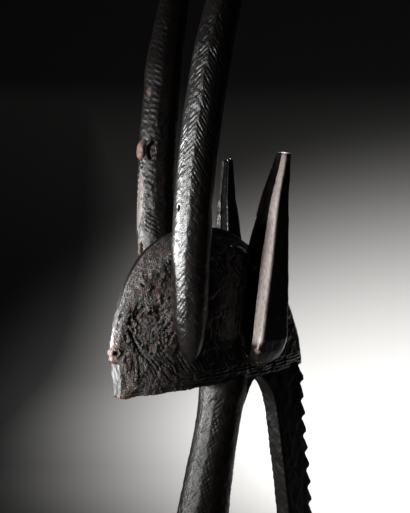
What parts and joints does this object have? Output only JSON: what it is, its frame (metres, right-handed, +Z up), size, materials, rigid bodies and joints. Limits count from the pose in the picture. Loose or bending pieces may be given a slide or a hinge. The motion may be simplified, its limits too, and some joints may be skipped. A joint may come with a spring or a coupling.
{
  "type": "chiwara headdress",
  "caption": "Carved wooden antelope crest: half-disc head, long swept horns, trough-shaped ears, round neck and saw-toothed mane, above a small body on a low base.",
  "frame": {"origin": "centre of the flat underside of the base", "axes": "+Z up, -Y the way the animal faces, +X the animal's left"},
  "size_m": [0.0964, 0.2364, 0.9016],
  "materials": {
    "patinated_wood": "dark encrusted patina over carved hardwood, satin, reddish brown where it is worn bare"
  },
  "bodies": {
    "root": {"headdress": "patinated_wood"}
  },
  "joints": []
}
